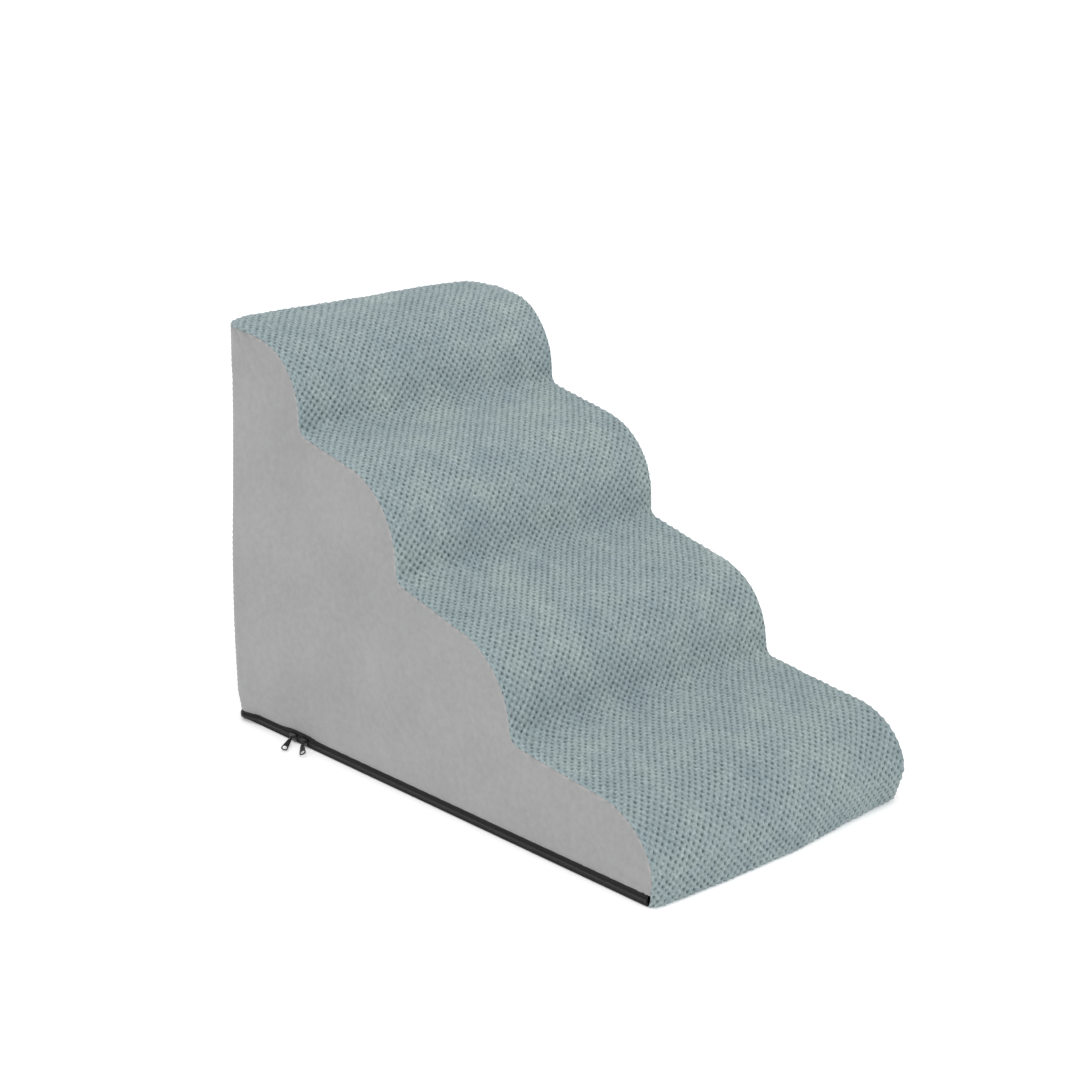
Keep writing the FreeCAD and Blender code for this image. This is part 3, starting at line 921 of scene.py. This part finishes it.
def side_outline(right):
    """The border of a side panel, as (distance along the route, z) points."""
    seam = [(y + half_length, z) for y, z in seam_line if y < half_length - back_corner_radius]
    top_end = (left_seam_p, back_seam_z + seam_lap)
    front_foot, back_foot = (seam[-1][0], panel_bottom_z), (left_seam_p, panel_bottom_z)
    points = [(p, panel_bottom_z if right else float(wall_bottom_z(p)))
              for p, _ in even_line(front_foot, back_foot)]
    points += even_line(back_foot, top_end) + even_line(top_end, seam[0]) + seam
    points += even_line(seam[-1], front_foot)[1:]
    if right:
        points = [(route_length - p, z) for p, z in points]
    return points


def back_outline():
    """The border of the back panel, in the same terms."""
    low, high = panel_bottom_z, back_seam_z + seam_lap
    corners = [(left_seam_p, low), (right_seam_p, low), (right_seam_p, high), (left_seam_p, high)]
    points = []
    for a, b in zip(corners, corners[1:] + corners[:1]):
        points += even_line(a, b)
    return points


# ------ base cloth and grip dots

def base_panel():
    """The base cloth: a thin slab with the cover's footprint."""
    low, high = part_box("bottom_panel")
    inset = 1.0 * MM
    cloth_bottom = 0.6 * MM
    radius = front_corner_radius
    route = np.linspace(0, route_length, 260)
    plan, out = wall_plan(route, 0.0)
    from_seam = np.minimum(route, route_length - route) - left_seam_p
    corner_inset = zip_corner_inset * np.exp(-(from_seam / zip_corner_reach) ** 2)
    plan = plan + out * (zip_push(route) - inset - corner_inset)[:, None]
    turn = np.linspace(0, math.pi / 2, 8)
    front = [(sign * (high.x - radius + radius * math.cos(a)), low.y + radius - radius * math.sin(a))
             for sign, angles in ((1, turn), (-1, turn[::-1])) for a in angles]
    front = [(x, y + float(front_bend(x, y, 0.0))) for x, y in front]
    ring = [tuple(point) for point in plan[plan[:, 1] > low.y + radius]] + front
    points = [(x, y, z) for z in (base_top_z, cloth_bottom) for x, y in ring]
    piece = mesh_piece("base_cloth", points, tube_faces(2, len(ring)), base_cloth, smooth=False)
    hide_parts("bottom_panel")


def grip_dots():
    """Small rubber domes under the base cloth, in staggered rows."""
    pitch, radius, depth, top = 15 * MM, 2.2 * MM, 0.6 * MM, 0.65 * MM
    sides = 8
    dome = [(1.0, top), (0.92, top - 0.7 * depth), (0.6, top - depth)]
    turn = 2 * math.pi * np.arange(sides) / sides
    points, faces = [], []
    for row, y in enumerate(np.arange(-half_length + 18 * MM, half_length - 14 * MM, pitch * staggered_row)):
        for x in np.arange(-half_width + 14 * MM + (row % 2) * pitch / 2, half_width - 13 * MM, pitch):
            faces += [f[::-1] for f in tube_faces(len(dome), sides, len(points))]
            points += [(x + radius * scale * math.cos(a), y + radius * scale * math.sin(a), z)
                       for scale, z in dome for a in turn]
    mesh_piece("grip_dots", points, faces, grip_rubber)


# ------ foam block

def foam_block():
    """The foam inside the cover, bevelled along the base. It shows only with the cover off."""
    point, normal = profile_at(np.arange(0, profile_length[-1], 6 * MM))
    ring = point - normal * foam_inset
    ring = ring[(ring[:, 1] > base_top_z + foam_bevel) & (ring[:, 0] < half_length - foam_inset)]
    front_y, back_y = -half_length + foam_inset, half_length - foam_inset
    bottom = base_top_z + foam_lift
    ring = [tuple(p) for p in ring] + [
        (front_y, bottom + foam_bevel), (front_y + foam_bevel / 2, bottom), (back_y - foam_bevel, bottom),
        (back_y, bottom + foam_bevel), (back_y, ring[0][1])]
    ring = [(y + float(front_bend(half_width, y, z)), z) for y, z in ring]
    outer_x = half_width - foam_side_inset
    inner_x = outer_x - foam_bevel
    slices = [(-outer_x, foam_bevel), (-inner_x, 0.0), (inner_x, 0.0), (outer_x, foam_bevel)]
    points = [(x, y, max(z, bottom + lift)) for x, lift in slices for y, z in ring]
    piece = mesh_piece("foam_block", points, tube_faces(len(slices), len(ring)), foam, smooth=False)
    weld(piece)
    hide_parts("foam_core")


# ------ zipper

route_start = chain_front_y + half_length
route_stop = route_length - route_start - right_end_gap


def zip_plan(p):
    """Plan points of the zipper at distances p along the wall, and outward normals."""
    plan, out = wall_plan(p, 0.0)
    return plan + out * zip_push(p)[:, None], out


def swept_band(name, section):
    """A tape that follows the wall's route. section is its closed outline, as (outset, z)."""
    straight = np.arange(route_start, route_stop, 5 * MM)
    corner = np.linspace(route_side - 1 * MM, route_side + route_corner + 1 * MM, 14)
    ends = [route_start, route_stop]
    p = np.unique(np.concatenate([straight, corner, route_length - corner, ends]).round(6))
    plan, out = zip_plan(p)
    lift = zip_push(p) / zip_corner_push * zip_corner_lift
    points = []
    for (x, y), (nx, ny), up in zip(plan, out, lift):
        points += [(x + nx * d, y + ny * d, z + up * max(0.0, 1 - z / zip_lift_top)) for d, z in section]
    return mesh_piece(name, points, tube_faces(len(p), len(section)), tape_cloth)


def zipper_tapes():
    upper_low, upper_high = (corner.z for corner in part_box("zipper_tape_upper"))
    lower_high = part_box("zipper_tape_lower")[1].z
    upper = swept_band("zipper_tape_upper_woven", [
        (-1.7 * MM, upper_low), (-0.9 * MM, upper_low), (-0.5 * MM, upper_low + 3 * MM),
        (-0.7 * MM, panel_bottom_z), (-1.5 * MM, upper_high), (-2.1 * MM, upper_high),
        (-1.5 * MM, panel_bottom_z - 1 * MM)])
    lower = swept_band("zipper_tape_lower_woven", [
        (-1.7 * MM, lower_high), (-1.9 * MM, 2.6 * MM), (-10 * MM, 2.0 * MM),
        (-10 * MM, base_top_z + 0.1 * MM), (-1.4 * MM, 0.5 * MM), (-0.5 * MM, 1.0 * MM),
        (-0.4 * MM, 2.4 * MM), (-0.9 * MM, lower_high)])
    for piece, node in ((upper, "zipper_tape_upper"), (lower, "zipper_tape_lower")):
        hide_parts(node)


def zipper_teeth(name, node, root_z, tip_z, phase):
    """One coil as its row of nylon loops, each a small bent rod from the tape to past the middle."""
    sides = 5
    p = np.arange(route_start + 1 * MM + phase, route_stop - 1 * MM, tooth_pitch)
    plan, out = zip_plan(p)
    along = np.stack([out[:, 1], -out[:, 0]], -1)
    turn = 2 * math.pi * np.arange(sides) / sides
    # Each ring's share of the way to the tip, and its outset and radius in millimetres
    rings = [(0.0, -0.9, 0.30), (0.04, 0.1, 0.36), (0.45, 0.45, 0.36), (0.85, 0.35, 0.44), (1.0, -0.3, 0.30)]
    points, faces = [], []
    for place, outward, forward in zip(plan, out, along):
        faces += tube_faces(len(rings), sides, len(points))
        for share, outset, radius in rings:
            z = root_z + (tip_z - root_z) * share
            for a in turn:
                slide = radius * MM * math.cos(a) + 0.25 * MM * share
                lift = outset * MM + 0.8 * radius * MM * math.sin(a)
                x, y = place + outward * lift + forward * slide
                points.append((x, y, z))
    piece = mesh_piece(name, points, faces, coil_nylon)
    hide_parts(node)


def zipper_coils():
    upper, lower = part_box("zipper_coil_upper"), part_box("zipper_coil_lower")
    middle = (upper[0].z + lower[1].z) / 2
    reach = 1.2 * MM
    zipper_teeth("zipper_teeth_upper", "zipper_coil_upper", upper[1].z, middle - reach, 0.0)
    zipper_teeth("zipper_teeth_lower", "zipper_coil_lower", lower[0].z, middle + reach, tooth_pitch / 2)


# ------ build

foam_block()
plush_band()
wall_panel("velvet_left", "side_panel_left", side_outline(right=False), 21)
wall_panel("velvet_right", "side_panel_right", side_outline(right=True), 31)
wall_panel("velvet_back", "back_panel", back_outline(), 41)
base_panel()
grip_dots()
zipper_tapes()
zipper_coils()

for node in ("slider_front", "slider_rear", "pull_tab_front", "pull_tab_rear"):
    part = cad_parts[node]
    part.data.materials.clear()
    part.data.materials.append(slider_paint)


# ------ floor, light and camera

def studio():
    """A wide pale floor, an even white sky, a large key light and a weak fill light."""
    floor_mesh = bpy.data.meshes.new("floor")
    span = 40
    corners = [(-span, -span, 0), (span, -span, 0), (span, span, 0), (-span, span, 0)]
    floor_mesh.from_pydata(corners, [], [(0, 1, 2, 3)])
    floor = add_object("floor", floor_mesh)
    material, _, _, shader = new_material("floor_paper", grey(0.93), 0.9, specular=0.1)
    set_inputs(shader, {"Emission Color": (1, 1, 1, 1), "Emission Strength": 0.30})
    floor_mesh.materials.append(material)
    world = bpy.data.worlds.new("studio_world")
    world.use_nodes = True
    set_inputs(world.node_tree.nodes["Background"], {"Color": (1, 1, 1, 1), "Strength": 0.78})
    bpy.context.scene.world = world
    lights = [
        ("key_light", (-0.7, -0.6, 3.4), 2.4, 42),
        ("fill_light", (2.4, -2.2, 2.0), 2.6, 1.5),
    ]
    for name, place, size, power in lights:
        light = bpy.data.lights.new(name, "AREA")
        light.shape = "SQUARE"
        light.size = size
        light.energy = power
        lamp = add_object(name, light)
        lamp.location = place
        lamp.rotation_euler = (Vector((0, 0, 0.25)) - Vector(place)).to_track_quat("-Z", "Y").to_euler()


def photo_camera():
    """The camera that the reference view was taken from."""
    azimuth, elevation, roll = math.radians(-43.23), math.radians(17.14), math.radians(0.54)
    distance, lens = 2.494, 73.56
    target = Vector((-0.032, 0, 0.2753))
    back = Vector((math.sin(azimuth) * math.cos(elevation), -math.cos(azimuth) * math.cos(elevation),
                   math.sin(elevation)))
    right = Vector((0, 0, 1)).cross(back).normalized()
    up = back.cross(right)
    rolled_right = right * math.cos(roll) + up * math.sin(roll)
    rolled_up = up * math.cos(roll) - right * math.sin(roll)
    data = bpy.data.cameras.new("photo_camera")
    data.lens = lens
    data.sensor_width = 36
    data.clip_end = 50
    camera = add_object("photo_camera", data)
    axes = Matrix((rolled_right, rolled_up, back)).transposed().to_4x4()
    camera.matrix_world = Matrix.Translation(target + back * distance) @ axes
    bpy.context.scene.camera = camera


studio()
photo_camera()
bpy.context.scene.view_settings.view_transform = "Standard"
bpy.context.scene.view_settings.look = "None"

bpy.context.view_layer.update()
